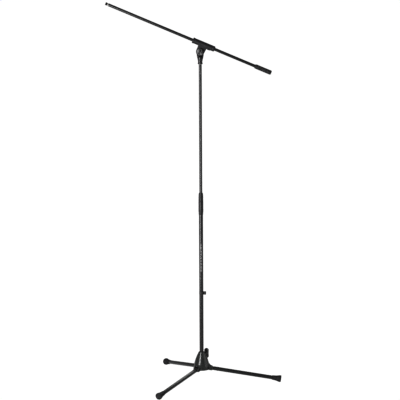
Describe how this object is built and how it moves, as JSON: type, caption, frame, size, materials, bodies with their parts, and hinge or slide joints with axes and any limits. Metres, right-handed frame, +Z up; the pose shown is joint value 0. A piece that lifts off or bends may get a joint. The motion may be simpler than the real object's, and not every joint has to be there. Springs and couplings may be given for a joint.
{
  "type": "boom microphone stand",
  "caption": "Floor-standing boom microphone stand with folding tripod legs, a telescopic pole and a tilting, sliding boom arm with a rubber rear grip.",
  "frame": {"origin": "centre of the stand's footprint box on the floor, with the pole axis 31 mm towards +X of it", "axes": "+Z up along the pole; the boom lies in the XZ plane with its tip towards -X and up; the tilt knob faces -Y"},
  "size_m": [0.8324, 0.6809, 1.8334],
  "materials": {
    "base_enamel": "gloss",
    "leg_enamel": "gloss",
    "knuckle_enamel": "gloss",
    "pole_enamel": "satin",
    "boom_enamel": "satin",
    "swivel_enamel": "satin",
    "sleeve_plastic": "satin",
    "clutch_plastic": "satin",
    "knob_plastic": "satin",
    "clip_plastic": "matte",
    "adapter_plastic": "satin",
    "inner_plastic": "matte",
    "bright_steel": "polished",
    "plain_steel": "satin",
    "foot_rubber": "matte",
    "grip_rubber": "matte"
  },
  "bodies": {
    "base": {"base_casting": "base_enamel", "leg_pivot_pin_1": "plain_steel", "leg_pivot_pin_2": "plain_steel", "leg_pivot_pin_3": "plain_steel"},
    "base_knob": {"base_wing_knob": "knob_plastic", "base_clamp_screw": "plain_steel"},
    "lower_pole": {"lower_tube": "pole_enamel", "pole_end_plug": "inner_plastic", "clutch_body": "clutch_plastic", "clutch_collet": "inner_plastic"},
    "clutch_twist_grip": {"clutch_grip": "clutch_plastic"},
    "clip": {"cable_clip": "clip_plastic"},
    "glide": {"glide_bush": "inner_plastic"},
    "upper_pole": {"upper_tube": "pole_enamel", "pole_stud": "bright_steel", "swivel_socket": "swivel_enamel"},
    "boom_head": {"boom_clamp_sleeve": "sleeve_plastic", "sleeve_bush_front": "sleeve_plastic", "sleeve_bush_rear": "sleeve_plastic", "tilt_bolt": "plain_steel", "friction_washer_front": "inner_plastic", "friction_washer_rear": "inner_plastic", "boom_clamp_pad": "inner_plastic"},
    "tilt_knob": {"tilt_wing_knob": "knob_plastic"},
    "boom_screw": {"boom_clamp_screw": "plain_steel"},
    "boom": {"boom_tube": "boom_enamel", "tip_stud": "bright_steel", "rear_grip": "grip_rubber", "counterweight_core": "plain_steel"},
    "adapter": {"thread_adapter": "adapter_plastic"},
    "leg_1": {"leg_tube_1": "leg_enamel", "leg_knuckle_1": "knuckle_enamel", "leg_rivet_1": "plain_steel", "foot_cap_1": "foot_rubber"},
    "leg_2": {"leg_tube_2": "leg_enamel", "leg_knuckle_2": "knuckle_enamel", "leg_rivet_2": "plain_steel", "foot_cap_2": "foot_rubber"},
    "leg_3": {"leg_tube_3": "leg_enamel", "leg_knuckle_3": "knuckle_enamel", "leg_rivet_3": "plain_steel", "foot_cap_3": "foot_rubber"}
  },
  "joints": [
    {"name": "leg_fold_1", "type": "hinge", "parent": "base", "child": "leg_1", "pos_m": [0.07558, -0.00752, 0.0681], "axis": [-0.0332, -0.9995, 0], "range_deg": [0, 99]},
    {"name": "leg_fold_2", "type": "hinge", "parent": "base", "child": "leg_2", "pos_m": [0.00793, 0.03458, 0.0681], "axis": [0.8821, 0.471, 0], "range_deg": [0, 99]},
    {"name": "leg_fold_3", "type": "hinge", "parent": "base", "child": "leg_3", "pos_m": [0.00529, -0.04505, 0.0681], "axis": [-0.849, 0.5284, 0], "range_deg": [0, 99]},
    {"name": "base_knob_turn", "type": "hinge", "parent": "base", "child": "base_knob", "pos_m": [0.0455, 0.01944, 0.132], "axis": [0.5299, 0.848, 0], "range_deg": [0, 720]},
    {"name": "pole_lift", "type": "slide", "parent": "base", "child": "lower_pole", "axis": [0, 0, 1], "range_m": [0, 0.05]},
    {"name": "clutch_twist", "type": "hinge", "parent": "lower_pole", "child": "clutch_twist_grip", "pos_m": [0.0296, -0.006, 0.909], "axis": [0, 0, 1], "range_deg": [0, 120]},
    {"name": "clip_slide", "type": "slide", "parent": "lower_pole", "child": "clip", "axis": [0, 0, 1], "range_m": [-0.25, 0.36]},
    {"name": "height_slide", "type": "slide", "parent": "lower_pole", "child": "glide", "axis": [0, 0, 1], "range_m": [-0.6, 0]},
    {"name": "pole_turn", "type": "hinge", "parent": "glide", "child": "upper_pole", "pos_m": [0.0296, -0.006, 1.2], "axis": [0, 0, 1], "continuous": true},
    {"name": "boom_tilt", "type": "hinge", "parent": "upper_pole", "child": "boom_head", "pos_m": [0.0296, -0.006, 1.6], "axis": [0, 1, 0], "range_deg": [-112, 67]},
    {"name": "tilt_knob_turn", "type": "hinge", "parent": "boom_head", "child": "tilt_knob", "pos_m": [0.0296, -0.026, 1.6], "axis": [0, -1, 0], "range_deg": [0, 720]},
    {"name": "boom_screw_turn", "type": "hinge", "parent": "boom_head", "child": "boom_screw", "pos_m": [0.06871, -0.006, 1.60516], "axis": [-0.3899, 0, -0.9208], "range_deg": [0, 720]},
    {"name": "boom_slide", "type": "slide", "parent": "boom_head", "child": "boom", "axis": [-0.9208, 0, 0.3899], "range_m": [-0.41, 0.195]},
    {"name": "adapter_turn", "type": "hinge", "parent": "boom", "child": "adapter", "pos_m": [-0.40738, -0.006, 1.82468], "axis": [-0.9208, 0, 0.3899], "range_deg": [0, 720]}
  ]
}
